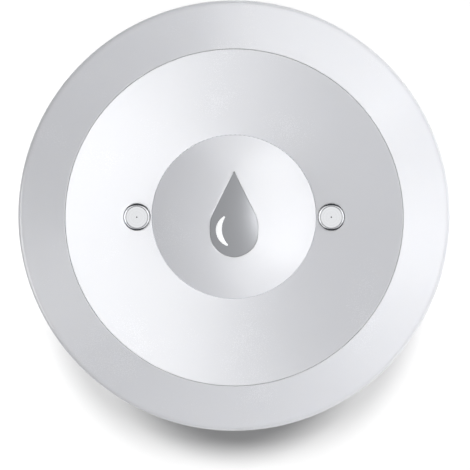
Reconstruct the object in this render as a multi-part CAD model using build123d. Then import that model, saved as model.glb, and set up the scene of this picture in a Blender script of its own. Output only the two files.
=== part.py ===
from build123d import *
import math
import os

# Round battery water leak sensor that lies flat on the floor with its face up.
# Millimetres. The origin is the centre of the floor plane under the feet, +Z is
# up through the face, and the drop symbol on the button points along +Y.
#
# A drip that lands on the dished face runs to the two contact studs beside the
# button. Each stud is screwed to a probe screw in the underside, which bridges
# a puddle on the floor. The button presses a switch on the circuit board, and
# a coin cell sits behind a quarter-turn door in the underside.

# Overall sizes
case_diameter = 65.0
foot_stand = 0.8
overcut = 1.0
seat_gap = 0.05
seal_gap = 0.03

# Outer shell: side wall, sloping rim and the ledge that carries the dish plate
rim_width = 7.15
rim_drop = 2.6
rim_edge_radius = 0.85
crest_edge_radius = 0.08
side_draft = 0.35
shell_wall = 1.8
ledge_width = 2.5
ledge_thickness = 1.4
ledge_outer_fall = 0.9

# Parting line between outer shell and base
parting_level = 6.0
parting_shadow_gap = 0.2
parting_edge_radius = 0.25

# Dish plate: the concave face around the button
dish_depth = 2.7
dish_wall = 1.6
dish_rim_thickness = 1.5
dish_edge_gap = 0.04
dish_edge_radius = 0.08
spigot_gap = 0.1
tape_thickness = 0.2
tape_margin = 0.25

# Button
button_diameter = 24.66
button_gap = 0.06
button_dome_rise = 1.5
button_edge_radius = 0.08
button_edge_thickness = 1.1
button_travel = 0.4
skirt_wall = 1.3
collar_wall = 0.9
collar_depth = 2.7
lip_reach = 0.7
lip_height = 0.9
lip_clearance = 0.08
rib_width = 1.2
post_diameter = 3.2
post_height = 0.9

# Return pad under the button
pad_width = 2.0
pad_gap = 0.05
pad_skirt_gap = 0.88

# Drop symbol let into the button, measured from the middle of the face
drop_tip_rise = 7.0
drop_shoulder_rise = 0.82
drop_shoulder_half_width = 3.1
drop_belly_fall = 2.06
drop_belly_half_width = 3.63
drop_bottom_fall = 5.97
drop_pocket_depth = 0.8
drop_side_gap = 0.04
drop_sink = 0.03
drop_crown_rise = 0.25

# Crescent status window in the drop, the top of the light guide: one circle less another
crescent_outer_x = -0.24
crescent_outer_y = -1.92
crescent_outer_radius = 2.47
crescent_inner_x = 1.58
crescent_inner_y = -1.74
crescent_inner_radius = 3.44
crescent_end_radius = 0.12
crescent_gap = 0.04
guide_flange_margin = 0.9
guide_flange_thickness = 0.6
guide_stem_diameter = 2.0
guide_led_clearance = 0.6

# Contact studs in the face
stud_button_gap = 0.19
stud_head_diameter = 4.04
stud_flat_diameter = 3.3
stud_head_thickness = 0.75
stud_bevel_height = 0.34
stud_shank_diameter = 2.5
stud_thread_diameter = 1.9
stud_dimple_diameter = 0.26
stud_dimple_depth = 0.12
stud_spot_depth = 0.35
stud_spot_gap = 0.05
stud_hole_gap = 0.05
stud_boss_diameter = 4.8
stud_boss_depth = 2.7
stud_seal_section = 0.5

# Circuit board
board_thickness = 1.0
board_edge_inset = 9.0
board_stud_hole_gap = 0.35
board_notch_diameter = 7.0

# Base shell
base_edge_radius = 3.2
base_flat_inset = 0.9
base_wall = 1.8
tongue_wall = 1.2
tongue_height = 2.1
tongue_gap = 0.1
case_seal_section = 0.9
case_seal_groove_gap = 0.05
case_seal_rise = 0.55
base_rib_count = 8
base_rib_first_angle = 22.5
base_rib_width = 1.0
base_rib_height = 1.6

# Case screws under the feet
case_screw_inset = 6.0
case_screw_count = 4
case_screw_first_angle = 45.0
case_screw_head_diameter = 3.8
case_screw_head_height = 1.3
case_screw_shank_diameter = 2.1
case_screw_length = 10.0
case_screw_recess_gap = 0.2
case_screw_hole_gap = 0.1
case_screw_pilot_gap = 0.03
case_screw_seat_depth = 1.5
case_boss_diameter = 5.8
case_pillar_diameter = 4.6
case_pillar_gap = 0.1
cross_slot_width = 0.5
cross_slot_length = 2.2
cross_slot_depth = 0.6

# Rubber feet
foot_diameter = 6.4
foot_recess_depth = 0.6
foot_recess_gap = 0.1
foot_edge_radius = 0.3

# Board posts and screws
board_screw_inset = 3.5
board_screw_count = 4
board_screw_first_angle = 45.0
board_post_diameter = 4.4
board_screw_head_diameter = 3.2
board_screw_head_height = 1.1
board_screw_shank_diameter = 1.6
board_screw_length = 6.0
board_screw_hole_gap = 0.1
board_screw_pilot_gap = 0.03

# Probe screws in the underside
probe_head_diameter = 3.6
probe_head_height = 1.2
probe_floor_gap = 0.3
probe_thread_gap = 0.05
probe_engagement = 4.5
probe_recess_gap = 0.15
probe_door_wall = 0.45
probe_seal_section = 0.5
probe_hole_gap = 0.1
probe_boss_diameter = 5.4
probe_boss_height = 2.2
probe_slot_width = 0.6
probe_slot_depth = 0.5

# Coin cell
cell_diameter = 20.0
cell_thickness = 3.2
cell_can_gap = 1.2
cell_cap_recess = 0.15
cell_edge_radius = 0.3
cell_bore_gap = 0.3

# Battery door with its bayonet
door_flange_thickness = 1.2
door_flange_reach = 0.975
door_gap = 0.1
door_hub_gap = 0.15
door_top_gap = 0.05
door_lug_count = 3
door_lug_first_angle = 90.0
door_lug_width_angle = 28.0
door_lug_reach = 0.75
door_lug_thickness = 1.0
door_lug_gap = 0.05
door_notch_slack_angle = 2.0
door_turn_angle = 35.0
door_ledge_thickness = 1.2
door_edge_radius = 0.2
door_stop_width_angle = 8.0
door_stop_slack_angle = 1.0
coin_slot_length = 14.0
coin_slot_width = 1.8
coin_slot_depth = 1.3
door_pocket_diameter = 17.0
door_pocket_depth = 1.7
door_pointer_length = 1.6
door_pointer_width = 1.4
door_pointer_depth = 0.25
door_pointer_inset = 0.5
index_dot_diameter = 0.9
index_dot_depth = 0.25
index_dot_inset = 1.3
door_seal_section = 0.58
door_seal_groove_width = 0.8
door_seal_groove_depth = 0.55
door_seal_edge = 0.15
cell_pad_gap = 0.1
bay_wall = 1.8
bay_board_gap = 0.35
bay_rib_count = 6
bay_rib_width = 1.2
bay_rib_first_angle = 15.0

# Battery contacts
strip_thickness = 0.2
strip_touch_gap = 0.04
positive_strip_width = 2.6
positive_strip_foot = 2.2
positive_strip_bulge = 0.45
bay_window_gap = 0.4
negative_strip_width = 3.0
negative_strip_length = 9.0
negative_strip_rise_share = 0.55
negative_dimple_diameter = 1.6
negative_strip_room = 1.25

# Stud contact clips on the board
clip_outer_diameter = 4.4
clip_tab_width = 1.2
clip_tab_height = 1.6
clip_thickness = 0.25
clip_touch_gap = 0.03

# Sounder under the board
sounder_diameter = 9.6
sounder_bay_gap = 0.5
sounder_clearance = 0.05
sounder_gasket_thickness = 0.6
sounder_gasket_width = 1.2
sounder_mouth_diameter = 2.4
sounder_mouth_depth = 0.8
membrane_rim = 0.9
membrane_thickness = 0.2
sound_hole_diameter = 1.0
sound_hole_circle = 4.0
sound_hole_count = 6

# Switch on the board
switch_offset = 3.0
switch_body_width = 4.5
switch_body_height = 1.9
switch_corner_radius = 0.3
plunger_diameter = 2.0
plunger_gap = 0.06
plunger_depth = 1.3
plunger_reach = 1.14

# Status lamp on the board
lamp_length = 1.6
lamp_width = 0.8
lamp_height = 0.6
lamp_base_share = 0.4

# Radio module on the board
module_collar_gap = 0.3
module_length = 13.0
module_width = 8.6
module_board_thickness = 0.8
module_can_length = 11.4
module_can_margin = 0.6
module_can_height = 1.6
module_can_radius = 0.5
aerial_trace_width = 0.4
aerial_trace_thickness = 0.1
aerial_trace_pitch = 0.9
aerial_turns = 5
aerial_depth = 1.8

# Small parts on the board
chip_width = 4.0
chip_height = 0.7
chip_x = 3.8
chip_y = -3.6
chip_leg_length = 0.45
chip_leg_width = 0.25
chip_leg_height = 0.3
chip_leg_pitch = 0.8
chip_leg_count = 4
crystal_length = 3.2
crystal_width = 1.5
crystal_height = 0.8
crystal_x = 4.7
crystal_y = 0.7
coil_diameter = 4.6
coil_height = 2.6
coil_collar_gap = 0.66
coil_angle = 118.0
coil_waist_share = 0.72
small_length = 1.6
small_width = 0.8
small_height = 0.5
small_row_pitch = 1.7
small_row_count = 4
capacitor_row_x = -13.6
capacitor_row_y = -9.0
resistor_row_x = 13.6
resistor_row_y = -9.0

# Worked out from the sizes above: radii on the face
case_radius = case_diameter / 2
dish_radius = case_radius - rim_width
button_radius = button_diameter / 2
button_hole_radius = button_radius + button_gap
collar_radius = button_hole_radius + collar_wall
rim_slope = rim_drop / rim_width
dish_ball_radius = (dish_radius**2 + dish_depth**2) / (2 * dish_depth)
button_ball_radius = (button_radius**2 + button_dome_rise**2) / (2 * button_dome_rise)
ledge_inner_radius = dish_radius - ledge_width
pad_outer_radius = button_radius - skirt_wall - pad_skirt_gap
pad_inner_radius = pad_outer_radius - pad_width

# Radii of shells, screws and board
shell_inner_radius = case_radius - shell_wall
tongue_outer_radius = shell_inner_radius - tongue_gap
tongue_inner_radius = tongue_outer_radius - tongue_wall
case_screw_radius = case_radius - case_screw_inset
board_radius = case_radius - board_edge_inset
board_screw_radius = board_radius - board_screw_inset

# Radii of the battery door and its bay, around the coin cell
cell_bore_radius = cell_diameter / 2 + cell_bore_gap
door_hub_radius = cell_bore_radius - door_hub_gap / 2
ledge_bore_radius = door_hub_radius + door_hub_gap
lug_outer_radius = door_hub_radius + door_lug_reach
bay_radius = lug_outer_radius + door_hub_gap
bay_outer_radius = bay_radius + bay_wall
door_flange_radius = bay_radius + door_flange_reach
door_seal_radius = door_flange_radius - door_seal_edge - door_seal_groove_width / 2
sounder_offset = bay_outer_radius + sounder_bay_gap + sounder_diameter / 2

# The studs stand clear of the button above and of the battery door below
stud_beside_button = button_hole_radius + stud_button_gap + stud_head_diameter / 2
probe_recess_radius = probe_head_diameter / 2 + probe_recess_gap
probe_beside_door = door_flange_radius + door_gap + probe_door_wall + probe_recess_radius
stud_x = max(stud_beside_button, probe_beside_door)

# Levels of the stack, from the floor up to the button
base_level = foot_stand
floor_level = base_level + base_wall
door_flange_top = base_level + door_flange_thickness
door_ledge_bottom = door_flange_top + door_gap / 2
door_ledge_top = door_ledge_bottom + door_ledge_thickness
door_lug_bottom = door_ledge_top + door_lug_gap
door_hub_top = door_lug_bottom + door_lug_thickness
cell_bottom = door_hub_top + cell_pad_gap + door_top_gap
cell_top = cell_bottom + cell_thickness
board_level = cell_top + negative_strip_room
board_top = board_level + board_thickness
bay_top = board_level - bay_board_gap
switch_top = board_top + switch_body_height
plunger_top = switch_top + plunger_reach
button_ceiling = plunger_top + post_height
button_edge_level = button_ceiling + button_edge_thickness
button_apex = button_edge_level + button_dome_rise

# Levels of the face, from the button's edge up the dish to the crest
dish_ball_level = button_edge_level + math.sqrt(dish_ball_radius**2 - button_hole_radius**2)
crest_level = dish_ball_level - math.sqrt(dish_ball_radius**2 - dish_radius**2)
dish_seat = crest_level - dish_rim_thickness
ledge_top = dish_seat - tape_thickness
ledge_bottom = ledge_top - ledge_thickness
collar_bottom = button_edge_level - collar_depth
lip_top = collar_bottom - lip_clearance
lip_bottom = lip_top - lip_height
pad_top = lip_top


def dish_height(radius, below=0):
    """Height of the dished face at a radius, or of the surface that lies below it."""
    ball = dish_ball_radius + below
    return dish_ball_level - math.sqrt(ball**2 - radius**2)


stud_surface = dish_height(stud_x)
stud_seat = stud_surface - stud_spot_depth
stud_seal_pocket_depth = stud_seal_section + seal_gap
stud_shank_end = floor_level + probe_boss_height + seat_gap
stud_boss_bottom = stud_surface - stud_boss_depth
case_screw_seat = base_level + foot_recess_depth + case_screw_seat_depth


def turned(*outline):
    """Solid turned about the vertical axis from a closed (radius, height) outline."""
    return revolve(Plane.XZ * make_face(Polyline(*outline, close=True)), Axis.Z)


def section(*outline):
    """Flat (radius, height) section, to be rounded before it is turned."""
    return Sketch() + make_face(Polyline(*outline, close=True))


def rounded(face, *corners):
    """Rounds corners of a section, each given as (radius, height, edge radius)."""
    for across, up, edge in corners:
        corner = face.vertices().sort_by_distance((across, up, 0))[0]
        face = fillet(corner, edge)
    return face


def spin(face):
    return revolve(Plane.XZ * face, Axis.Z)


def disc(diameter, bottom, top, x=0, y=0):
    """Upright cylinder between two levels."""
    tall = Cylinder(diameter / 2, top - bottom, align=(Align.CENTER, Align.CENTER, Align.MIN))
    return Pos(x, y, bottom) * tall


def block(length, width, bottom, top, x=0, y=0):
    """Upright box between two levels."""
    tall = Box(length, width, top - bottom, align=(Align.CENTER, Align.CENTER, Align.MIN))
    return Pos(x, y, bottom) * tall


def o_ring(circle, cross_section, level, x=0, y=0):
    """Ring of round rubber, centred on a circle at a level."""
    return Pos(x, y, level) * Torus(circle / 2, cross_section / 2)


def on_circle(radius, count, first_angle):
    """Places evenly spaced on a circle, as (x, y, angle)."""
    for step in range(count):
        angle = first_angle + step * 360 / count
        turn = math.radians(angle)
        yield radius * math.cos(turn), radius * math.sin(turn), angle


def wedge(inner_radius, outer_radius, width_angle, middle_angle, bottom, top):
    """Piece of a ring between two radii, spanning an angle about its middle."""
    ring = disc(2 * outer_radius, bottom, top) - disc(2 * inner_radius, bottom, top)
    reach = 2 * outer_radius
    half = math.radians(width_angle / 2)
    corner_x = reach * math.cos(half)
    corner_y = reach * math.sin(half)
    cut = make_face(Polyline((0, 0), (corner_x, -corner_y), (corner_x, corner_y), close=True))
    slice_ = extrude(Plane.XY.offset(bottom) * cut, top - bottom)
    return Rot(0, 0, middle_angle) * (ring & slice_)


def outer_shell():
    """Side wall and sloping rim in one moulding, with a ledge and screw pillars inside."""
    shoulder = crest_level - rim_drop
    slope_wall = shell_wall / math.cos(math.atan(rim_slope))
    wall_foot = case_radius - side_draft
    under_rim = ledge_bottom - ledge_outer_fall
    part_bottom = parting_level + parting_shadow_gap
    profile = section(
        (wall_foot, part_bottom),
        (case_radius, shoulder),
        (dish_radius, crest_level),
        (dish_radius, ledge_top),
        (ledge_inner_radius, ledge_top),
        (ledge_inner_radius, ledge_bottom),
        (dish_radius + slope_wall, ledge_bottom),
        (shell_inner_radius, under_rim),
        (shell_inner_radius, part_bottom),
    )
    profile = rounded(
        profile,
        (case_radius, shoulder, rim_edge_radius),
        (dish_radius, crest_level, crest_edge_radius),
        (wall_foot, part_bottom, parting_edge_radius),
    )
    shell = spin(profile)
    pillar_foot = pillar_bottom()
    pilot_top = case_screw_seat + case_screw_length + seat_gap
    pilot = case_screw_shank_diameter + case_screw_pilot_gap
    for x, y, _ in on_circle(case_screw_radius, case_screw_count, case_screw_first_angle):
        shell += disc(case_pillar_diameter, pillar_foot, ledge_bottom, x, y)
        shell -= disc(pilot, pillar_foot - overcut, pilot_top, x, y)
    return shell


def pillar_bottom():
    """Level where the shell's screw pillars meet the base's screw bosses."""
    return parting_level + case_pillar_gap


def dish_plate():
    """Concave plate with the button collar and the two stud bosses on its underside."""
    plate_radius = dish_radius - dish_edge_gap
    rim_top = dish_height(plate_radius)
    spigot_radius = ledge_inner_radius - spigot_gap
    middle = (plate_radius + button_hole_radius) / 2
    under_middle = (spigot_radius + button_hole_radius) / 2
    top = ThreePointArc(
        (button_hole_radius, dish_height(button_hole_radius)),
        (middle, dish_height(middle)),
        (plate_radius, rim_top),
    )
    under = ThreePointArc(
        (spigot_radius, dish_height(spigot_radius, dish_wall)),
        (under_middle, dish_height(under_middle, dish_wall)),
        (button_hole_radius, dish_height(button_hole_radius, dish_wall)),
    )
    rim = Polyline(top @ 1, (plate_radius, dish_seat), (spigot_radius, dish_seat), under @ 0)
    hole_side = Line(under @ 1, top @ 0)
    profile = Sketch() + make_face(Curve() + [top, rim, under, hole_side])
    profile = rounded(profile, (plate_radius, rim_top, dish_edge_radius))
    plate = spin(profile)
    plate += disc(2 * collar_radius, collar_bottom, button_edge_level - dish_wall / 2)
    for side in (-1, 1):
        x = side * stud_x
        plate += disc(stud_boss_diameter, stud_boss_bottom, stud_surface - dish_wall / 2, x)
    plate -= disc(2 * button_hole_radius, collar_bottom - overcut, crest_level)
    spot = stud_head_diameter + 2 * stud_spot_gap
    hole = stud_shank_diameter + 2 * stud_hole_gap
    pocket = hole + 2 * (stud_seal_section + seal_gap)
    for side in (-1, 1):
        x = side * stud_x
        plate -= disc(spot, stud_seat, crest_level, x)
        plate -= disc(pocket, stud_seat - stud_seal_pocket_depth, stud_seat, x)
        plate -= disc(hole, stud_boss_bottom - overcut, crest_level, x)
    return plate


def dish_tape():
    """Flat ring of adhesive tape that bonds and seals the dish plate on its ledge."""
    outer = dish_radius - dish_edge_gap - tape_margin
    inner = ledge_inner_radius + tape_margin
    return disc(2 * outer, ledge_top, dish_seat) - disc(2 * inner, ledge_top, dish_seat)


def contact_stud(side):
    """Turned metal stud: bevelled flat head, plain shank and a blind thread from below."""
    head_top = stud_seat + stud_head_thickness
    bevel_foot = head_top - stud_bevel_height
    thread_top = stud_shank_end + probe_engagement + overcut
    head_radius = stud_head_diameter / 2
    shank_radius = stud_shank_diameter / 2
    stud = turned(
        (0, stud_shank_end),
        (shank_radius, stud_shank_end),
        (shank_radius, stud_seat),
        (head_radius, stud_seat),
        (head_radius, bevel_foot),
        (stud_flat_diameter / 2, head_top),
        (stud_dimple_diameter / 2, head_top),
        (0, head_top - stud_dimple_depth),
    )
    stud -= disc(stud_thread_diameter, stud_shank_end - overcut, thread_top)
    return Pos(side * stud_x, 0, 0) * stud


def stud_seals():
    """Rubber rings that seal the studs in the dish plate."""
    hole = stud_shank_diameter + 2 * stud_hole_gap
    circle = hole + stud_seal_section + seal_gap
    level = stud_seat - stud_seal_pocket_depth / 2
    return [o_ring(circle, stud_seal_section, level, side * stud_x) for side in (-1, 1)]


def drop_outline(gap=0):
    """Drop with straight flanks and a round belly, drawn smaller by a gap all round."""
    flank_angle = math.atan(drop_shoulder_half_width / (drop_tip_rise - drop_shoulder_rise))
    tip = (0, drop_tip_rise - gap / math.sin(flank_angle))
    shoulder_x = drop_shoulder_half_width - gap * math.cos(flank_angle)
    shoulder_y = drop_shoulder_rise - gap * math.sin(flank_angle)
    belly_x = drop_belly_half_width - gap
    flank_lean = (tip[0] + shoulder_x, shoulder_y - tip[1])
    right_flank = Line(tip, (shoulder_x, shoulder_y))
    right_shoulder = TangentArc(
        (shoulder_x, shoulder_y), (belly_x, -drop_belly_fall), tangent=flank_lean
    )
    bottom = ThreePointArc(
        (belly_x, -drop_belly_fall),
        (0, gap - drop_bottom_fall),
        (-belly_x, -drop_belly_fall),
    )
    left_shoulder = mirror(right_shoulder, Plane.YZ)
    left_flank = mirror(right_flank, Plane.YZ)
    return make_face(Curve() + [right_flank, right_shoulder, bottom, left_shoulder, left_flank])


def crescent_outline(grow=0):
    """Crescent window with small round ends, drawn larger by a margin all round."""
    outer = Circle(crescent_outer_radius + grow)
    inner = Circle(crescent_inner_radius - grow)
    shape = Pos(crescent_outer_x, crescent_outer_y) * outer
    shape -= Pos(crescent_inner_x, crescent_inner_y) * inner
    return fillet(shape.vertices(), crescent_end_radius + grow)


def under_dome(sink=0):
    """Everything below the button's dome, or below a surface sunk under it."""
    ball_radius = button_ball_radius - sink
    ball_level = button_apex - button_ball_radius
    return Pos(0, 0, ball_level) * Sphere(ball_radius)


def prism(face, bottom, top):
    """Upright solid with a flat outline, whichever way round that was drawn."""
    return extrude(Plane.XY.offset(bottom) * face, top - bottom, dir=(0, 0, 1))


def button_cap():
    """Domed cap with a skirt, a retaining lip, the switch post and the drop pocket."""
    hollow_radius = button_radius - skirt_wall
    lip_radius = button_hole_radius + lip_reach
    middle = button_radius / 2
    ball_level = button_apex - button_ball_radius
    middle_height = ball_level + math.sqrt(button_ball_radius**2 - middle**2)
    dome = ThreePointArc((0, button_apex), (middle, middle_height), (button_radius, button_edge_level))
    sides = Polyline(
        dome @ 1,
        (button_radius, lip_top),
        (lip_radius, lip_top),
        (lip_radius, lip_bottom),
        (hollow_radius, lip_bottom),
        (hollow_radius, button_ceiling),
        (0, button_ceiling),
    )
    axis_side = Line(sides @ 1, dome @ 0)
    profile = Sketch() + make_face(Curve() + [dome, sides, axis_side])
    cap = spin(rounded(profile, (button_radius, button_edge_level, button_edge_radius)))
    rib_middle = (pad_outer_radius + pad_inner_radius) / 2
    rib_foot = pad_top + pad_gap
    rib = disc(2 * rib_middle + rib_width, rib_foot, button_ceiling)
    cap += rib - disc(2 * rib_middle - rib_width, rib_foot, button_ceiling)
    cap += disc(post_diameter, plunger_top, button_ceiling, 0, switch_offset)
    pocket = prism(drop_outline(), button_ceiling, button_apex + overcut)
    cap -= pocket - under_dome(drop_pocket_depth)
    cap -= prism(crescent_outline(crescent_gap), button_ceiling - overcut, button_apex)
    return cap


def crown_radius(reach):
    """Radius of an arc that stands proud of the dome in the middle and is just sunk at its reach."""
    fall = drop_crown_rise + drop_sink + button_ball_radius - math.sqrt(button_ball_radius**2 - reach**2)
    return (reach**2 + fall**2) / (2 * fall)


def drop_crown():
    """Everything below the drop's pillowed top, which is round along the drop and rounder across."""
    top = button_apex + drop_crown_rise
    axis_level = top - crown_radius(drop_tip_rise)
    across_radius = crown_radius(drop_belly_half_width)
    half = 2 * drop_belly_half_width
    edge = top - across_radius + math.sqrt(across_radius**2 - half**2)
    arc = ThreePointArc((-half, edge), (0, top), (half, edge))
    base = Polyline(arc @ 1, (half, axis_level), (-half, axis_level), arc @ 0)
    barrel_axis = Axis((0, 0, axis_level), (1, 0, 0))
    return revolve(Plane.XZ * make_face(Curve() + [arc, base]), barrel_axis)


def drop_inlay():
    """Drop-shaped metal inlay with a pillowed top and the window cut through."""
    top = button_apex + drop_crown_rise + overcut
    inlay = prism(drop_outline(drop_side_gap), button_ceiling, top) & drop_crown()
    inlay -= under_dome(drop_pocket_depth - drop_side_gap)
    inlay -= prism(crescent_outline(crescent_gap), button_ceiling - overcut, top)
    return inlay


def light_guide():
    """Opal guide: a crescent tip in the drop, a flange under the cap and a round stem."""
    tip = prism(crescent_outline(), button_ceiling, button_apex + overcut) & drop_crown()
    flange_bottom = button_ceiling - guide_flange_thickness
    flange = prism(crescent_outline(guide_flange_margin), flange_bottom, button_ceiling)
    stem_bottom = board_top + lamp_height + guide_led_clearance
    x, y = lamp_place()
    stem = disc(guide_stem_diameter, stem_bottom, flange_bottom, x, y)
    return tip + flange + stem


def lamp_place():
    """The status lamp sits under the middle of the crescent."""
    outer_left = crescent_outer_x - crescent_outer_radius
    inner_left = crescent_inner_x - crescent_inner_radius
    return (outer_left + inner_left) / 2, crescent_outer_y


def plunger():
    """Switch plunger, held against the button's post."""
    return disc(plunger_diameter, switch_top - plunger_depth, plunger_top, 0, switch_offset)


def return_pad():
    """Soft ring between board and button that lifts the button and keeps it level."""
    outer = disc(2 * pad_outer_radius, board_top, pad_top)
    return outer - disc(2 * pad_inner_radius, board_top, pad_top)


def base_shell():
    """Tray with the battery bay, screw bosses, board posts and the tongue for the seal."""
    outer_foot = case_radius - side_draft
    bottom_radius = outer_foot - base_flat_inset
    tongue_top = parting_level + tongue_height
    profile = section(
        (0, base_level),
        (bottom_radius, base_level),
        (outer_foot, parting_level),
        (tongue_outer_radius, parting_level),
        (tongue_outer_radius, tongue_top),
        (tongue_inner_radius, tongue_top),
        (tongue_inner_radius, floor_level),
        (0, floor_level),
    )
    profile = rounded(
        profile,
        (bottom_radius, base_level, base_edge_radius),
        (outer_foot, parting_level, parting_edge_radius),
        (tongue_inner_radius, floor_level, base_wall),
    )
    base = spin(profile)
    groove_bottom = parting_level + case_seal_rise
    groove_top = groove_bottom + case_seal_section + 2 * case_seal_groove_gap
    groove_radius = shell_inner_radius - case_seal_section - 2 * case_seal_groove_gap
    base -= disc(2 * case_radius, groove_bottom, groove_top) - disc(
        2 * groove_radius, groove_bottom, groove_top
    )
    base += base_ribs()
    base += disc(2 * bay_outer_radius, floor_level, bay_top)
    for x, y, _ in on_circle(case_screw_radius, case_screw_count, case_screw_first_angle):
        boss = disc(case_boss_diameter, floor_level, parting_level, x, y)
        base += boss
    for x, y, _ in on_circle(board_screw_radius, board_screw_count, board_screw_first_angle):
        base += disc(board_post_diameter, floor_level, board_level, x, y)
    for side in (-1, 1):
        base += disc(
            probe_boss_diameter, floor_level, floor_level + probe_boss_height, side * stud_x
        )
    base = cut_battery_bay(base)
    base = cut_base_holes(base)
    return base


def base_ribs():
    """Low stiffening ribs on the floor, from the bay's wall to the side wall."""
    length = tongue_inner_radius + tongue_wall / 2
    rib = block(length, base_rib_width, floor_level, floor_level + base_rib_height, length / 2)
    turns = on_circle(length, base_rib_count, base_rib_first_angle)
    return [Rot(0, 0, angle) * rib for _, _, angle in turns]


def cut_battery_bay(base):
    """Door seat, ledge with bayonet notches, cell bay with guide ribs and door stops."""
    base -= disc(2 * (door_flange_radius + door_gap), base_level - overcut, door_ledge_bottom)
    base -= disc(2 * ledge_bore_radius, base_level, bay_top + overcut)
    base -= disc(2 * bay_radius, door_ledge_top, bay_top + overcut)
    notch_width = door_lug_width_angle + 2 * door_notch_slack_angle
    stop_offset = (door_lug_width_angle + door_stop_width_angle) / 2 + door_stop_slack_angle
    stop_top = door_hub_top + door_lug_gap
    for _, _, angle in on_circle(lug_outer_radius, door_lug_count, door_lug_first_angle):
        base -= wedge(
            door_hub_radius,
            bay_radius,
            notch_width,
            angle - door_turn_angle,
            base_level + door_flange_thickness,
            door_ledge_top,
        )
        base += wedge(
            ledge_bore_radius,
            bay_radius + bay_wall / 2,
            door_stop_width_angle,
            angle + stop_offset,
            door_ledge_top,
            stop_top,
        )
    for _, _, angle in on_circle(bay_radius, bay_rib_count, bay_rib_first_angle):
        reach = bay_radius + bay_wall / 2 - cell_bore_radius
        rib = block(reach, bay_rib_width, door_hub_top + seat_gap, bay_top)
        rib = Pos(cell_bore_radius + reach / 2, 0, 0) * rib
        base += Rot(0, 0, angle) * rib
    window = positive_strip_width + 2 * bay_window_gap
    reach = bay_outer_radius + overcut
    cut = block(reach, window, door_hub_top + seat_gap, bay_top + overcut, reach / 2)
    base -= Rot(0, 0, positive_strip_side()) * cut
    return base


def positive_strip_side():
    """The side strip stands half way between two of the bay's ribs."""
    return bay_rib_first_angle + 360 / bay_rib_count / 2


def cut_base_holes(base):
    """Foot recesses, screw holes, probe holes, sound holes and the index dots."""
    foot_hole = foot_diameter + 2 * foot_recess_gap
    recess_top = base_level + foot_recess_depth
    head_hole = case_screw_head_diameter + 2 * case_screw_recess_gap
    shank_hole = case_screw_shank_diameter + 2 * case_screw_hole_gap
    for x, y, _ in on_circle(case_screw_radius, case_screw_count, case_screw_first_angle):
        base -= disc(foot_hole, base_level - overcut, recess_top, x, y)
        base -= disc(head_hole, base_level, case_screw_seat, x, y)
        base -= disc(shank_hole, base_level, parting_level + overcut, x, y)
    pilot = board_screw_shank_diameter + 2 * board_screw_pilot_gap
    pilot_bottom = board_top - board_screw_length - seat_gap
    for x, y, _ in on_circle(board_screw_radius, board_screw_count, board_screw_first_angle):
        base -= disc(pilot, pilot_bottom, board_level + overcut, x, y)
    probe_seal_top = probe_head_top() + probe_seal_section + seal_gap
    probe_hole = probe_thread_diameter() + 2 * probe_hole_gap
    for side in (-1, 1):
        x = side * stud_x
        base -= disc(2 * probe_recess_radius, base_level - overcut, probe_seal_top, x)
        base -= disc(probe_hole, base_level, stud_shank_end + overcut, x)
    membrane_seat = floor_level - membrane_thickness
    base -= disc(
        membrane_diameter() + 2 * seat_gap, membrane_seat, floor_level + overcut, 0, sounder_offset
    )
    base -= disc(sound_hole_diameter, base_level - overcut, floor_level, 0, sounder_offset)
    for x, y, _ in on_circle(sound_hole_circle / 2, sound_hole_count, 0):
        base -= disc(sound_hole_diameter, base_level - overcut, floor_level, x, y + sounder_offset)
    for angle in (door_lug_first_angle, door_lug_first_angle - door_turn_angle):
        turn = math.radians(angle - door_lug_first_angle * 2)
        reach = door_flange_radius + door_gap + index_dot_inset
        x = reach * math.cos(turn)
        y = reach * math.sin(turn)
        base -= disc(index_dot_diameter, base_level - overcut, base_level + index_dot_depth, x, y)
    return base


def case_seal():
    """Rubber ring in the tongue's groove, against the outer shell."""
    circle = 2 * (shell_inner_radius - case_seal_groove_gap) - case_seal_section
    level = parting_level + case_seal_rise + case_seal_groove_gap + case_seal_section / 2
    return o_ring(circle, case_seal_section, level)


def cross_head_screw(head_diameter, head_height, shank_diameter, length):
    """Pan-head screw with a cross slot, head up, its seat at level zero."""
    head = section(
        (0, 0),
        (head_diameter / 2, 0),
        (head_diameter / 2, head_height),
        (0, head_height),
    )
    head = rounded(head, (head_diameter / 2, head_height, head_height / 2))
    screw = spin(head)
    shank_radius = shank_diameter / 2
    screw += turned((0, 0), (shank_radius, 0), (shank_radius, shank_radius - length), (0, -length))
    slot_bottom = head_height - cross_slot_depth
    slot = block(cross_slot_length, cross_slot_width, slot_bottom, head_height + overcut)
    return screw - slot - Rot(0, 0, 90) * slot


def case_screws():
    """Screws that hold base and outer shell together, heads under the feet."""
    screw = cross_head_screw(
        case_screw_head_diameter,
        case_screw_head_height,
        case_screw_shank_diameter,
        case_screw_length,
    )
    return [
        Pos(x, y, case_screw_seat) * Rot(180, 0, 0) * screw
        for x, y, _ in on_circle(case_screw_radius, case_screw_count, case_screw_first_angle)
    ]


def board_screws():
    """Screws that hold the board down on the base's posts."""
    screw = cross_head_screw(
        board_screw_head_diameter,
        board_screw_head_height,
        board_screw_shank_diameter,
        board_screw_length,
    )
    return [
        Pos(x, y, board_top) * screw
        for x, y, _ in on_circle(board_screw_radius, board_screw_count, board_screw_first_angle)
    ]


def rubber_feet():
    """Round pads that cover the case screws and carry the sensor."""
    top = base_level + foot_recess_depth
    foot = section((0, 0), (foot_diameter / 2, 0), (foot_diameter / 2, top), (0, top))
    foot = spin(rounded(foot, (foot_diameter / 2, 0, foot_edge_radius)))
    return [
        Pos(x, y, 0) * foot
        for x, y, _ in on_circle(case_screw_radius, case_screw_count, case_screw_first_angle)
    ]


def probe_head_top():
    return probe_floor_gap + probe_head_height


def probe_thread_diameter():
    """The probe screw's thread, as a plain shank that runs in the stud's thread."""
    return stud_thread_diameter - 2 * probe_thread_gap


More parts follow.
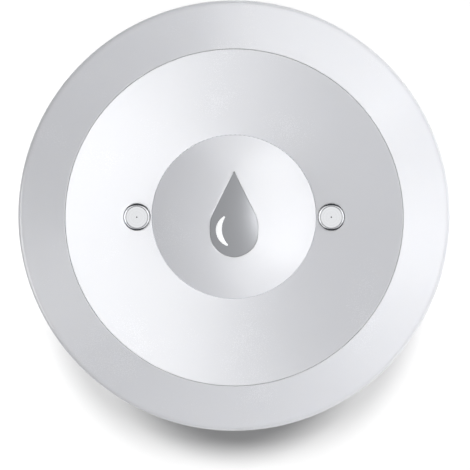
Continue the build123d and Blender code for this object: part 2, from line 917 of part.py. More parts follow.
def probe_screw(side):
    """Slotted screw in the underside that clamps the stud and senses water on the floor."""
    head_radius = probe_head_diameter / 2
    head = section(
        (0, probe_floor_gap),
        (head_radius, probe_floor_gap),
        (head_radius, probe_head_top()),
        (0, probe_head_top()),
    )
    screw = spin(rounded(head, (head_radius, probe_floor_gap, probe_head_height / 2)))
    shank_top = stud_shank_end + probe_engagement
    screw += disc(probe_thread_diameter(), probe_head_top(), shank_top)
    screw -= block(
        probe_head_diameter + overcut,
        probe_slot_width,
        probe_floor_gap - overcut,
        probe_floor_gap + probe_slot_depth,
    )
    return Pos(side * stud_x, 0, 0) * screw


def probe_seals():
    """Rubber rings between the probe heads and the base."""
    circle = probe_thread_diameter() + 2 * probe_hole_gap + probe_seal_section
    level = probe_head_top() + (probe_seal_section + seal_gap) / 2
    return [o_ring(circle, probe_seal_section, level, side * stud_x) for side in (-1, 1)]


def circuit_board():
    """Round board with notches for the case pillars and holes for studs and screws."""
    board = disc(2 * board_radius, board_level, board_top)
    for x, y, _ in on_circle(case_screw_radius, case_screw_count, case_screw_first_angle):
        board -= disc(board_notch_diameter, board_level - overcut, board_top + overcut, x, y)
    stud_hole = stud_shank_diameter + 2 * board_stud_hole_gap
    for side in (-1, 1):
        board -= disc(stud_hole, board_level - overcut, board_top + overcut, side * stud_x)
    screw_hole = board_screw_shank_diameter + 2 * board_screw_hole_gap
    for x, y, _ in on_circle(board_screw_radius, board_screw_count, board_screw_first_angle):
        board -= disc(screw_hole, board_level - overcut, board_top + overcut, x, y)
    return board


def battery_door():
    """Coin-slot door: flange, hub with bayonet lugs, pad pocket and a pointer."""
    profile = section(
        (0, base_level),
        (door_flange_radius, base_level),
        (door_flange_radius, door_flange_top),
        (door_hub_radius, door_flange_top),
        (door_hub_radius, door_hub_top),
        (0, door_hub_top),
    )
    door = spin(rounded(profile, (door_flange_radius, base_level, door_edge_radius)))
    for _, _, angle in on_circle(lug_outer_radius, door_lug_count, door_lug_first_angle):
        door += wedge(
            door_hub_radius - door_lug_reach,
            lug_outer_radius,
            door_lug_width_angle,
            angle,
            door_lug_bottom,
            door_hub_top,
        )
    door -= disc(door_pocket_diameter, door_hub_top - door_pocket_depth, door_hub_top + overcut)
    groove_outer = 2 * door_seal_radius + door_seal_groove_width
    groove_inner = 2 * door_seal_radius - door_seal_groove_width
    groove_bottom = door_flange_top - door_seal_groove_depth
    door -= disc(groove_outer, groove_bottom, door_flange_top) - disc(
        groove_inner, groove_bottom, door_flange_top
    )
    slot = SlotOverall(coin_slot_length, coin_slot_width)
    door -= prism(slot, base_level - overcut, base_level + coin_slot_depth)
    tip = door_flange_radius - door_pointer_inset
    pointer = make_face(
        Polyline(
            (-tip, 0),
            (door_pointer_length - tip, door_pointer_width / 2),
            (door_pointer_length - tip, -door_pointer_width / 2),
            close=True,
        )
    )
    pointer = Rot(0, 0, door_lug_first_angle) * pointer
    return door - prism(pointer, base_level - overcut, base_level + door_pointer_depth)


def door_seal():
    """Rubber ring in the groove of the door's flange."""
    level = door_flange_top - door_seal_groove_depth + door_seal_section / 2
    return o_ring(2 * door_seal_radius, door_seal_section, level)


def cell_pad():
    """Foam disc in the door that holds the coin cell against its contact."""
    bottom = door_hub_top - door_pocket_depth
    return disc(door_pocket_diameter - 2 * seat_gap, bottom, door_hub_top + cell_pad_gap)


def coin_cell():
    """Coin cell, can down: a can with a smaller cap on its upper side."""
    radius = cell_diameter / 2
    cap_radius = radius - cell_can_gap
    can_top = cell_top - cell_cap_recess
    profile = section(
        (0, cell_bottom),
        (radius, cell_bottom),
        (radius, can_top),
        (cap_radius, can_top),
        (cap_radius, cell_top),
        (0, cell_top),
    )
    return spin(
        rounded(
            profile,
            (radius, cell_bottom, cell_edge_radius),
            (radius, can_top, cell_edge_radius),
        )
    )


def positive_contact():
    """Strip that hangs from the board and bears on the side of the cell's can."""
    touch = cell_diameter / 2 + strip_touch_gap
    bottom = cell_bottom + cell_edge_radius
    middle = (bottom + cell_top) / 2
    away = touch + positive_strip_bulge
    profile = make_face(
        Polyline(
            (away, bottom),
            (touch, middle),
            (away, cell_top),
            (away, board_level),
            (away + positive_strip_foot, board_level),
            (away + positive_strip_foot, board_level - strip_thickness),
            (away + strip_thickness, board_level - strip_thickness),
            (away + strip_thickness, cell_top),
            (touch + strip_thickness, middle),
            (away + strip_thickness, bottom),
            close=True,
        )
    )
    strip = extrude(Plane.XZ * profile, positive_strip_width / 2, both=True)
    return Rot(0, 0, positive_strip_side()) * strip


def negative_contact():
    """Leaf spring under the board that bears on the cell's cap."""
    under = board_level - strip_thickness
    half = negative_strip_length / 2
    foot = -half * negative_strip_rise_share
    low = cell_top + strip_touch_gap
    profile = make_face(
        Polyline(
            (-half, board_level),
            (foot, board_level),
            (half - negative_dimple_diameter, low + strip_thickness),
            (half, low + strip_thickness),
            (half, low),
            (half - negative_dimple_diameter, low),
            (foot, under),
            (-half, under),
            close=True,
        )
    )
    leaf = extrude(Plane.XZ * profile, negative_strip_width / 2, both=True)
    return leaf


def stud_clips():
    """Sprung washers on the board whose tabs bear on the stud shanks."""
    hole = stud_shank_diameter + 2 * clip_touch_gap
    clips = []
    for side in (-1, 1):
        x = side * stud_x
        ring = disc(clip_outer_diameter, board_top, board_top + clip_thickness, x)
        tab_top = board_top + clip_tab_height
        tube = disc(hole + 2 * clip_thickness, board_top, tab_top, x)
        tabs = tube & block(clip_outer_diameter, clip_tab_width, board_top, tab_top, x)
        clips.append((ring + tabs) - disc(hole, board_top - overcut, tab_top + overcut, x))
    return clips


def sounder():
    """Round sounder hanging under the board with its mouth over the sound holes."""
    bottom = floor_level + sounder_gasket_thickness
    top = board_level
    can = disc(sounder_diameter, bottom + sounder_clearance, top, 0, sounder_offset)
    mouth_top = bottom + sounder_mouth_depth
    return can - disc(sounder_mouth_diameter, bottom - overcut, mouth_top, 0, sounder_offset)


def sounder_gasket():
    """Foam ring between sounder and base around the sound holes."""
    bottom = floor_level
    top = floor_level + sounder_gasket_thickness
    outer = disc(sounder_diameter, bottom, top, 0, sounder_offset)
    inner = sounder_diameter - 2 * sounder_gasket_width
    return outer - disc(inner, bottom - overcut, top + overcut, 0, sounder_offset)


def membrane_diameter():
    """The membrane reaches a little past the sound holes, inside the gasket's hole."""
    return sound_hole_circle + sound_hole_diameter + 2 * membrane_rim


def sound_membrane():
    """Breathable disc behind the sound holes that keeps water out."""
    seat = floor_level - membrane_thickness
    return disc(membrane_diameter(), seat, floor_level, 0, sounder_offset)


def switch_body():
    """Square switch housing with the bore that its plunger runs in."""
    body = block(switch_body_width, switch_body_width, board_top, switch_top, 0, switch_offset)
    body = fillet(body.edges().filter_by(Axis.Z), switch_corner_radius)
    bore = plunger_diameter + 2 * plunger_gap
    bore_bottom = switch_top - plunger_depth - button_travel - plunger_gap
    return body - disc(bore, bore_bottom, switch_top + overcut, 0, switch_offset)


def status_lamp():
    """Small lamp: a carrier with a rounded lens on it, under the light guide."""
    x, y = lamp_place()
    split = board_top + lamp_height * lamp_base_share
    carrier = block(lamp_length, lamp_width, board_top, split, x, y)
    return carrier + disc(lamp_width, split, board_top + lamp_height, x, y)


def module_y():
    """Middle of the radio module, which starts just outside the button's collar."""
    return -(collar_radius + module_collar_gap + module_width / 2)


def radio_module():
    """Radio board at the rim of the main board, aerial side outward."""
    top = board_top + module_board_thickness
    return block(module_length, module_width, board_top, top, 0, module_y())


def radio_can():
    """Pressed metal can over the radio chips."""
    bottom = board_top + module_board_thickness
    width = module_width - aerial_depth - 2 * module_can_margin
    middle = module_y() + aerial_depth / 2
    can = block(module_can_length, width, bottom, bottom + module_can_height, 0, middle)
    can = fillet(can.edges().filter_by(Axis.Z), module_can_radius)
    return fillet(can.faces().sort_by(Axis.Z)[-1].edges(), module_can_radius / 2)


def radio_aerial():
    """Printed aerial, a folded trace along the module's outer edge."""
    bottom = board_top + module_board_thickness
    top = bottom + aerial_trace_thickness
    outer_y = module_y() - module_width / 2
    far = outer_y + aerial_trace_width
    near = outer_y + aerial_depth
    depth = near - far
    start = -aerial_turns * aerial_trace_pitch
    aerial = None
    for turn in range(2 * aerial_turns + 1):
        x = start + turn * aerial_trace_pitch
        leg = block(aerial_trace_width, depth, bottom, top, x, (near + far) / 2)
        aerial = leg if aerial is None else aerial + leg
        if turn < 2 * aerial_turns:
            bar_y = near - aerial_trace_width / 2 if turn % 2 else far + aerial_trace_width / 2
            bar_x = x + aerial_trace_pitch / 2
            bar = block(
                aerial_trace_pitch + aerial_trace_width, aerial_trace_width, bottom, top, bar_x, bar_y
            )
            aerial += bar
    return aerial


def controller_chip():
    """Small controller with a row of legs on each of two sides."""
    chip = block(chip_width, chip_width, board_top, board_top + chip_height, chip_x, chip_y)
    reach = chip_width + 2 * chip_leg_length
    first = -(chip_leg_count - 1) * chip_leg_pitch / 2
    for leg in range(chip_leg_count):
        y = chip_y + first + leg * chip_leg_pitch
        chip += block(reach, chip_leg_width, board_top, board_top + chip_leg_height, chip_x, y)
    return chip


def crystal():
    can = block(
        crystal_length, crystal_width, board_top, board_top + crystal_height, crystal_x, crystal_y
    )
    return fillet(can.edges().filter_by(Axis.Z), crystal_width / 2 * coil_waist_share)


def sounder_coil():
    """Drum-wound coil that lifts the sounder's voltage."""
    radius = coil_diameter / 2
    waist = radius * coil_waist_share
    flange = coil_height / 4
    drum = turned(
        (0, board_top),
        (radius, board_top),
        (radius, board_top + flange),
        (waist, board_top + flange),
        (waist, board_top + coil_height - flange),
        (radius, board_top + coil_height - flange),
        (radius, board_top + coil_height),
        (0, board_top + coil_height),
    )
    reach = collar_radius + coil_collar_gap + radius
    turn = math.radians(coil_angle)
    return Pos(reach * math.cos(turn), reach * math.sin(turn), 0) * drum


def small_row(x, first_y):
    """Row of small two-ended parts on the board."""
    top = board_top + small_height
    return [
        block(small_length, small_width, board_top, top, x, first_y + step * small_row_pitch)
        for step in range(small_row_count)
    ]


def write(node, shape):
    """Writes one node, which is one solid or a list of separate solids."""
    if isinstance(shape, (list, tuple)):
        shape = Compound(children=[piece.solid() for piece in shape])
    shape.label = node
    export_step(shape, os.path.join("parts", node + ".step"))


def build():
    os.makedirs("parts", exist_ok=True)
    write("outer_shell", outer_shell())
    write("dish_plate", dish_plate())
    write("dish_tape", dish_tape())
    write("contact_stud_left", contact_stud(-1))
    write("contact_stud_right", contact_stud(1))
    write("stud_seals", stud_seals())
    write("button_cap", button_cap())
    write("drop_inlay", drop_inlay())
    write("light_guide", light_guide())
    write("switch_plunger", plunger())
    write("return_pad", return_pad())
    write("base_shell", base_shell())
    write("case_seal", case_seal())
    write("case_screws", case_screws())
    write("board_screws", board_screws())
    write("rubber_feet", rubber_feet())
    write("probe_screw_left", probe_screw(-1))
    write("probe_screw_right", probe_screw(1))
    write("probe_seals", probe_seals())
    write("circuit_board", circuit_board())
    write("battery_door", battery_door())
    write("door_seal", door_seal())
    write("cell_pad", cell_pad())
    write("coin_cell", coin_cell())
    write("positive_contact", positive_contact())
    write("negative_contact", negative_contact())
    write("stud_clips", stud_clips())
    write("sounder", sounder())
    write("sounder_gasket", sounder_gasket())
    write("sound_membrane", sound_membrane())
    write("switch_body", switch_body())
    write("status_lamp", status_lamp())
    write("radio_module", radio_module())
    write("radio_can", radio_can())
    write("radio_aerial", radio_aerial())
    write("controller_chip", controller_chip())
    write("crystal", crystal())
    write("sounder_coil", sounder_coil())
    write("capacitors", small_row(capacitor_row_x, capacitor_row_y))
    write("resistors", small_row(resistor_row_x, resistor_row_y))


build()
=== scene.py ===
"""Water leak sensor seen from just beside straight above: materials, floor, light and camera.

Lengths are in metres and lamp angles in degrees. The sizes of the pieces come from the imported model.
"""

import math

import bpy
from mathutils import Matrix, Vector


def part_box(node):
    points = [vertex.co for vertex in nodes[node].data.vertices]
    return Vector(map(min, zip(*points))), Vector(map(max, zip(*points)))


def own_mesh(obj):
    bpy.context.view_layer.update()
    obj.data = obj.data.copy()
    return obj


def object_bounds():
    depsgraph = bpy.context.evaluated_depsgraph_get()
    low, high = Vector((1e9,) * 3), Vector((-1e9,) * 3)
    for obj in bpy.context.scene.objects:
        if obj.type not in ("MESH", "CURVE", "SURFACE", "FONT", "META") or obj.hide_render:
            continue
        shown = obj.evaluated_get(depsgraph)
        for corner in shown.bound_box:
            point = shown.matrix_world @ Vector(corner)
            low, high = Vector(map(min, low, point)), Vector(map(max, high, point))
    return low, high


MM = 0.001

# Picture and camera
IMAGE_SIDE = 470  # pixels
CASE_LEFT, CASE_RIGHT = 18.4, 449.7  # pixel columns of the case's sides
CASE_MIDDLE_ROW = 216.2  # pixel row of its middle, a little below the outline's
CAMERA_DISTANCE = 0.70
CAMERA_TILT = math.radians(4.6)  # leaning towards the tip of the drop
CAMERA_NEAR, CAMERA_FAR = 0.01, 10
SENSOR_WIDTH = 36.0  # mm
WIDEST_LEVEL_SHARE = 0.80  # height of the case's widest ring, as a share of the case's height

# Pieces with lamps of their own
STUDS = ("contact_stud_left", "contact_stud_right")
FACE = ("dish_plate", "button_cap", "light_guide")
DROP = "drop_inlay"

# Colours, as linear red, green and blue
SHELL_WHITE = (0.695, 0.703, 0.735)
EDGE_PAINTED_SHADE_GREY = (0.30, 0.305, 0.32)
NICKEL = (0.775, 0.785, 0.805)
PAINTED_REFLECTION_SHADE_AND_MARK_DARK = (0.055, 0.057, 0.064)
DROP_GREY = (0.325, 0.331, 0.348)
OPAL_WHITE = (0.90, 0.91, 0.92)
FOOT_GREY = (0.16, 0.165, 0.175)
RUBBER_BLACK = (0.018, 0.018, 0.019)
SEAL_ORANGE = (0.42, 0.10, 0.03)
BOARD_GREEN = (0.012, 0.09, 0.035)
MODULE_BLUE = (0.012, 0.03, 0.11)
PLASTIC_BLACK = (0.022, 0.022, 0.023)
ZINC = (0.55, 0.56, 0.58)
TIN = (0.60, 0.60, 0.60)
GILT = (0.80, 0.56, 0.24)
CERAMIC_TAN = (0.36, 0.22, 0.12)
SILICONE = (0.55, 0.57, 0.60)
FLOOR_PALE = (0.50, 0.50, 0.50)
FLOOR_PAINTED_SHADOW = (0.14, 0.14, 0.145)

# Moulded grain
GRAIN_SIZE = 0.12 * MM
GRAIN_DEPTH = 0.002 * MM
GRAIN_ROUGHNESS = 0.12  # how much the grain changes the roughness
CLOUDING = 0.02
CLOUDS_PER_METRE = 90.0
CLOUD_ROUGHNESS = 0.10  # how much the clouds change the roughness

# Marks left by the lathe
TURNING_PITCH = 0.12 * MM
TURNING_DEPTH = 0.0012 * MM
TURNING_TONE = 0.34  # how much the rings change the colour
TURNING_ROUGHNESS = 0.25  # how much the rings change the roughness

# Shell plastic
SHELL_ROUGHNESS = 0.25
SHELL_SCATTER = 0.80 * MM

# Painted shade on the outer edge of the rim's top, darkening it
EDGE_START, EDGE_FULL = 1.0 * MM, 0.3 * MM  # distances from the case's side
EDGE_BELOW, EDGE_ABOVE = 0.1 * MM, 0.2 * MM  # where it fades in, below and above the widest ring
EDGE_PAINTED_SHADE_SHARE = 0.09

# Painted glow in the joint round the button, lifting the shade in it
JOINT_RADIUS = 12.36 * MM
JOINT_REACH = 0.034 * MM  # how far from the middle of the joint its walls get the painted glow
JOINT_DARK_DEPTH, JOINT_LIT_DEPTH = 4.0 * MM, 2.5 * MM  # below the top of the button, where the painted glow starts and where it is full
JOINT_PAINTED_GLOW = 0.28

# Crescent in the drop, with a painted glow
CRESCENT_ROUGHNESS = 0.30
CRESCENT_DEPTH = 0.0005 * MM
CRESCENT_PAINTED_GLOW = 0.25

# Studs, with a painted dark reflection on the bevel and painted shade lines at its edges; a mark's share says
# how dark it is
STUD_ROUGHNESS = 0.20
PROBE_ROUGHNESS = 0.26
STUD_FLAT_SHARE = 0.817  # width of a stud's flat, as a share of its head
REFLECTION_ARC_TAPER = 1.8  # how fast the bevel's painted dark reflection arcs thin out towards its sides
REFLECTION_ARC_START, REFLECTION_ARC_FULL = 0.12, 0.42  # across the bevel, in shares of its width
# Painted shade lines at the edge of the flat and the edge of the head
FLAT_LINE_HALF_WIDTH, FLAT_LINE_SHARE = 0.065 * MM, 0.60
HEAD_LINE_INSET, HEAD_LINE_HALF_WIDTH, HEAD_LINE_SHARE = 0.05 * MM, 0.08 * MM, 0.78
CENTRE_MARK_RADIUS, CENTRE_MARK_SHARE = 0.11 * MM, 0.75

# Coin cell
CELL_ROUGHNESS = 0.24
CELL_PITCH = 0.3 * MM

# Finishes under the moulded grain: material, colour, roughness, grain size in mm, clouding, grain depth
# in mm, metallic share and pieces
FINISHES = (
    ("drop_silver_paint", DROP_GREY, 0.36, 0.05, 0.04, 0.001, 0.55, (DROP,)),
    ("lamp_clear", OPAL_WHITE, 0.15, 0.12, 0.02, 0.0002, 0.0, ("status_lamp",)),
    ("foot_grey_rubber", FOOT_GREY, 0.68, 0.2, 0.05, 0.004, 0.0, ("rubber_feet",)),
    (
        "seal_black_rubber", RUBBER_BLACK, 0.50, 0.2, 0.1, 0.002, 0.0,
        ("stud_seals", "probe_seals", "door_seal"),
    ),
    (
        "foam_black", RUBBER_BLACK, 0.85, 0.25, 0.3, 0.02, 0.0,
        ("dish_tape", "cell_pad", "sounder_gasket", "sound_membrane"),
    ),
    ("case_seal_silicone", SEAL_ORANGE, 0.45, 0.2, 0.05, 0.002, 0.0, ("case_seal",)),
    ("pad_silicone", SILICONE, 0.40, 0.2, 0.04, 0.001, 0.0, ("return_pad",)),
    ("board_solder_mask", BOARD_GREEN, 0.32, 0.15, 0.1, 0.001, 0.0, ("circuit_board",)),
    ("module_solder_mask", MODULE_BLUE, 0.32, 0.15, 0.1, 0.001, 0.0, ("radio_module",)),
    (
        "part_black_plastic", PLASTIC_BLACK, 0.45, 0.15, 0.1, 0.001, 0.0,
        ("sounder", "switch_body", "switch_plunger", "controller_chip", "sounder_coil", "resistors"),
    ),
    ("part_tan_ceramic", CERAMIC_TAN, 0.40, 0.1, 0.1, 0.001, 0.0, ("capacitors",)),
    ("tin_plate", TIN, 0.30, 0.1, 0.1, 0.001, 1.0, ("radio_can", "crystal")),
    (
        "gilt_plate", GILT, 0.28, 0.1, 0.1, 0.001, 1.0,
        ("stud_clips", "radio_aerial", "positive_contact", "negative_contact"),
    ),
    ("zinc_plate", ZINC, 0.32, 0.08, 0.1, 0.001, 1.0, ("case_screws", "board_screws")),
)

# Floor
FLOOR_HALF_SIDE = 1.5
CONTACT_INSIDE, CONTACT_OUTSIDE = 3.5 * MM, 0.8 * MM  # where its painted shadow under the case fades, from the case's side

# Light, in shares of a white surface's brightness
ROOM_LIGHT = 0.30
LAMP_DISTANCE = 1.2

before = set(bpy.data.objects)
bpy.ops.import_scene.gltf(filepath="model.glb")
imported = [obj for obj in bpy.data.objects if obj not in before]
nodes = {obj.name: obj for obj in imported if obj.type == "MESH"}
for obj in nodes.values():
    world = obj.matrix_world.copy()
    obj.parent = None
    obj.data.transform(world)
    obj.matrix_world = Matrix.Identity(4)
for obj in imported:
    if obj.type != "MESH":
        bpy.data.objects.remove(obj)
cad_low, cad_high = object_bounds()
scene = bpy.context.scene
case_radius = (cad_high.x - cad_low.x) / 2


# Shader nodes


def node(tree, kind, **settings):
    """New node of one kind, with its settings."""
    made = tree.nodes.new(kind)
    for key, value in settings.items():
        setattr(made, key, value)
    return made


def math_node(tree, operation, *values, clamp=False):
    """Math node whose inputs are sockets or numbers; gives back its output."""
    made = node(tree, "ShaderNodeMath", operation=operation, use_clamp=clamp)
    for value, socket in zip(values, made.inputs):
        if isinstance(value, (int, float)):
            socket.default_value = value
        else:
            tree.links.new(value, socket)
    return made.outputs[0]


def noise(tree, coordinates, scale, detail, roughness=0.5):
    """Noise on given coordinates, from 0 to 1; scale may be a socket."""
    made = node(tree, "ShaderNodeTexNoise")
    tree.links.new(coordinates, made.inputs["Vector"])
    if isinstance(scale, (int, float)):
        made.inputs["Scale"].default_value = scale
    else:
        tree.links.new(scale, made.inputs["Scale"])
    made.inputs["Detail"].default_value = detail
    made.inputs["Roughness"].default_value = roughness
    return made.outputs["Fac"]


def shaded(tree, colour, factor):
    """Colour made darker or lighter by a factor."""
    made = node(tree, "ShaderNodeVectorMath", operation="SCALE")
    tree.links.new(colour, made.inputs[0])
    tree.links.new(factor, made.inputs["Scale"])
    return made.outputs[0]


def mix_colour(tree, amount, first, second):
    """Mix of two colours, each a socket or a colour; gives back the output socket."""
    made = node(tree, "ShaderNodeMix", data_type="RGBA")
    tree.links.new(amount, made.inputs["Factor"])
    for key, value in (("A", first), ("B", second)):
        socket = next(s for s in made.inputs if s.name == key and s.type == "RGBA")
        if isinstance(value, (tuple, list)):
            socket.default_value = (*value[:3], 1)
        else:
            tree.links.new(value, socket)
    return next(s for s in made.outputs if s.type == "RGBA")


def darken(tree, mask, share, colour, dark):
    """Colour mixed towards a dark one by a share of a mask."""
    return mix_colour(tree, math_node(tree, "MULTIPLY", mask, share), colour, dark)


def ramp(tree, value, start, end):
    """Smooth mask from 0 at start to 1 at end."""
    made = node(tree, "ShaderNodeMapRange", interpolation_type="SMOOTHSTEP")
    tree.links.new(value, made.inputs["Value"])
    made.inputs["From Min"].default_value = start
    made.inputs["From Max"].default_value = end
    return made.outputs["Result"]


def line(tree, value, place, half_width):
    """Mask of a thin line where a value is near a place."""
    return math_node(tree, "COMPARE", value, place, half_width)


def reach_and_height(tree):
    """Distance from the case's upright axis, and height."""
    place = node(tree, "ShaderNodeTexCoord").outputs["Object"]
    parts = node(tree, "ShaderNodeSeparateXYZ")
    tree.links.new(place, parts.inputs[0])
    flat = node(tree, "ShaderNodeCombineXYZ")
    tree.links.new(parts.outputs["X"], flat.inputs["X"])
    tree.links.new(parts.outputs["Y"], flat.inputs["Y"])
    length = node(tree, "ShaderNodeVectorMath", operation="LENGTH")
    tree.links.new(flat.outputs[0], length.inputs[0])
    return length.outputs["Value"], parts.outputs["Z"]


# Shader node groups that more than one material uses


def new_group(name, inputs, outputs):
    """Shader node group with named inputs, given with their start values, and named outputs."""
    group = bpy.data.node_groups.new(name, "ShaderNodeTree")
    for label, kind, start in inputs:
        socket = group.interface.new_socket(name=label, in_out="INPUT", socket_type=kind)
        socket.default_value = start
    for label, kind in outputs:
        group.interface.new_socket(name=label, in_out="OUTPUT", socket_type=kind)
    return group, group.nodes.new("NodeGroupInput"), group.nodes.new("NodeGroupOutput")


def make_moulded_grain():
    """Fine spark-eroded grain with faint clouding, in object coordinates."""
    group, given, out = new_group(
        "moulded grain",
        [
            ("Colour", "NodeSocketColor", (0.8, 0.8, 0.8, 1)),
            ("Clouding", "NodeSocketFloat", CLOUDING),
            ("Grain Size", "NodeSocketFloat", GRAIN_SIZE),
            ("Roughness", "NodeSocketFloat", 0.42),
        ],
        [("Colour", "NodeSocketColor"), ("Roughness", "NodeSocketFloat"), ("Height", "NodeSocketFloat")],
    )
    place = node(group, "ShaderNodeTexCoord").outputs["Object"]
    per_metre = math_node(group, "DIVIDE", 1.0, given.outputs["Grain Size"])
    grain = noise(group, place, per_metre, 3, 0.6)
    group.links.new(grain, out.inputs["Height"])
    cloud = math_node(group, "SUBTRACT", noise(group, place, CLOUDS_PER_METRE, 2), 0.5)
    tone = math_node(group, "ADD", math_node(group, "MULTIPLY", cloud, given.outputs["Clouding"]), 1.0)
    group.links.new(shaded(group, given.outputs["Colour"], tone), out.inputs["Colour"])
    uneven = math_node(group, "MULTIPLY", math_node(group, "SUBTRACT", grain, 0.5), GRAIN_ROUGHNESS)
    soft = math_node(group, "MULTIPLY", cloud, CLOUD_ROUGHNESS)
    rough = math_node(group, "ADD", given.outputs["Roughness"], uneven)
    group.links.new(math_node(group, "ADD", rough, soft, clamp=True), out.inputs["Roughness"])
    return group


def make_turned_marks():
    """Rings left by the lathe round an upright axis through Centre, and through its mirror image.

    Reach is the distance from the axis. Lengthways is 1 ahead of it and behind, and 0 beside it.
    """
    group, given, out = new_group(
        "turned marks",
        [
            ("Centre", "NodeSocketVector", (0, 0, 0)),
            ("Pitch", "NodeSocketFloat", TURNING_PITCH),
            ("Colour", "NodeSocketColor", (0.7, 0.7, 0.7, 1)),
            ("Roughness", "NodeSocketFloat", 0.28),
        ],
        [
            ("Colour", "NodeSocketColor"),
            ("Roughness", "NodeSocketFloat"),
            ("Height", "NodeSocketFloat"),
            ("Reach", "NodeSocketFloat"),
            ("Lengthways", "NodeSocketFloat"),
        ],
    )
    place = node(group, "ShaderNodeTexCoord").outputs["Object"]
    folded = node(group, "ShaderNodeVectorMath", operation="ABSOLUTE")
    group.links.new(place, folded.inputs[0])
    offset = node(group, "ShaderNodeVectorMath", operation="SUBTRACT")
    group.links.new(folded.outputs[0], offset.inputs[0])
    group.links.new(given.outputs["Centre"], offset.inputs[1])
    flat = node(group, "ShaderNodeVectorMath", operation="MULTIPLY")
    flat.inputs[1].default_value = (1, 1, 0)
    group.links.new(offset.outputs[0], flat.inputs[0])
    length = node(group, "ShaderNodeVectorMath", operation="LENGTH")
    group.links.new(flat.outputs[0], length.inputs[0])
    reach = length.outputs["Value"]
    group.links.new(reach, out.inputs["Reach"])
    parts = node(group, "ShaderNodeSeparateXYZ")
    group.links.new(flat.outputs[0], parts.inputs[0])
    ahead = math_node(group, "ABSOLUTE", parts.outputs["Y"])
    group.links.new(math_node(group, "DIVIDE", ahead, reach), out.inputs["Lengthways"])

    turns = node(group, "ShaderNodeCombineXYZ")
    group.links.new(math_node(group, "DIVIDE", reach, given.outputs["Pitch"]), turns.inputs["X"])
    rings = noise(group, turns.outputs[0], 1.0, 3, 0.7)
    group.links.new(rings, out.inputs["Height"])
    uneven = math_node(group, "SUBTRACT", rings, 0.5)
    tone = math_node(group, "ADD", math_node(group, "MULTIPLY", uneven, TURNING_TONE), 1.0)
    group.links.new(shaded(group, given.outputs["Colour"], tone), out.inputs["Colour"])
    change = math_node(group, "MULTIPLY", uneven, TURNING_ROUGHNESS)
    rough = math_node(group, "ADD", given.outputs["Roughness"], change, clamp=True)
    group.links.new(rough, out.inputs["Roughness"])
    return group


MOULDED_GRAIN = make_moulded_grain()
TURNED_MARKS = make_turned_marks()


# Materials


def new_material(name, **settings):
    """Material with a Principled BSDF whose named sockets get constant values."""
    material = bpy.data.materials.new(name)
    material.use_nodes = True
    shader = material.node_tree.nodes["Principled BSDF"]
    for key, value in settings.items():
        shader.inputs[key.replace("_", " ")].default_value = value
    return material, material.node_tree, shader


def use_group(tree, shader, shared, depth, **settings):
    """Adds a shared group, which gives a shader its colour, its roughness and a bump of a given depth."""
    group = node(tree, "ShaderNodeGroup", node_tree=shared)
    for key, value in settings.items():
        group.inputs[key.replace("_", " ")].default_value = value
    tree.links.new(group.outputs["Colour"], shader.inputs["Base Color"])
    tree.links.new(group.outputs["Roughness"], shader.inputs["Roughness"])
    bump = node(tree, "ShaderNodeBump")
    bump.inputs["Distance"].default_value = depth
    tree.links.new(group.outputs["Height"], bump.inputs["Height"])
    tree.links.new(bump.outputs["Normal"], shader.inputs["Normal"])
    return group


def moulded(name, colour, roughness, grain=GRAIN_SIZE, clouding=CLOUDING, depth=GRAIN_DEPTH, **settings):
    """Moulded plastic or rubber, painted or plated metal: the grain group under one shader."""
    material, tree, shader = new_material(name, **settings)
    use_group(
        tree, shader, MOULDED_GRAIN, depth,
        Colour=(*colour, 1), Clouding=clouding, Grain_Size=grain, Roughness=roughness,
    )
    return material


def turned_metal(name, roughness, centre, pitch=TURNING_PITCH):
    """Nickel turned round an upright axis; gives back the material, its group and its shader."""
    material, tree, shader = new_material(name, Metallic=1.0)
    group = use_group(
        tree, shader, TURNED_MARKS, TURNING_DEPTH,
        Centre=centre, Pitch=pitch, Colour=(*NICKEL, 1), Roughness=roughness,
    )
    return material, group, shader


def dress(material, *names):
    """Gives CAD pieces one material."""
    for name in names:
        mesh = nodes[name].data
        mesh.materials.clear()
        mesh.materials.append(material)


def shell_plastic(name):
    """Satin white plastic that lets a little light through; gives back the material, tree and shader."""
    material = moulded(
        name, SHELL_WHITE, SHELL_ROUGHNESS, IOR=1.5, Specular_IOR_Level=1.0,
        Subsurface_Weight=0.8, Subsurface_Radius=(1.0, 0.97, 0.93), Subsurface_Scale=SHELL_SCATTER,
    )
    tree = material.node_tree
    return material, tree, tree.nodes["Principled BSDF"]


def dress_case():
    """One plastic all over: painted shade on the rim's outer edge, and a painted glow in the thin joint round
    the button.
    """
    base, _, _ = shell_plastic("base_white_plastic")
    dress(base, "base_shell", "battery_door")

    rim, tree, shader = shell_plastic("rim_white_plastic")
    reach, height = reach_and_height(tree)
    widest = cad_high.z * WIDEST_LEVEL_SHARE
    above = ramp(tree, height, widest - EDGE_BELOW, widest + EDGE_ABOVE)
    outer = ramp(tree, reach, case_radius - EDGE_START, case_radius - EDGE_FULL)
    # Painted shade: the top of the rim's outer edge is mixed towards a grey
    painted_edge_shade = math_node(tree, "MULTIPLY", outer, above)
    colour = shader.inputs["Base Color"].links[0].from_socket
    tree.links.new(darken(tree, painted_edge_shade, EDGE_PAINTED_SHADE_SHARE, colour, EDGE_PAINTED_SHADE_GREY), shader.inputs["Base Color"])
    dress(rim, "outer_shell")

    face, tree, shader = shell_plastic("face_white_plastic")
    reach, height = reach_and_height(tree)
    _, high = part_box("button_cap")
    # Painted light: the joint's upper walls glow, standing in for light that reaches into the gap
    joint = line(tree, reach, JOINT_RADIUS, JOINT_REACH)
    upper = ramp(tree, height, high.z - JOINT_DARK_DEPTH, high.z - JOINT_LIT_DEPTH)
    lit = mix_colour(tree, math_node(tree, "MULTIPLY", joint, upper), (0, 0, 0), SHELL_WHITE)
    tree.links.new(lit, shader.inputs["Emission Color"])
    shader.inputs["Emission Strength"].default_value = JOINT_PAINTED_GLOW
    dress(face, "dish_plate", "button_cap")


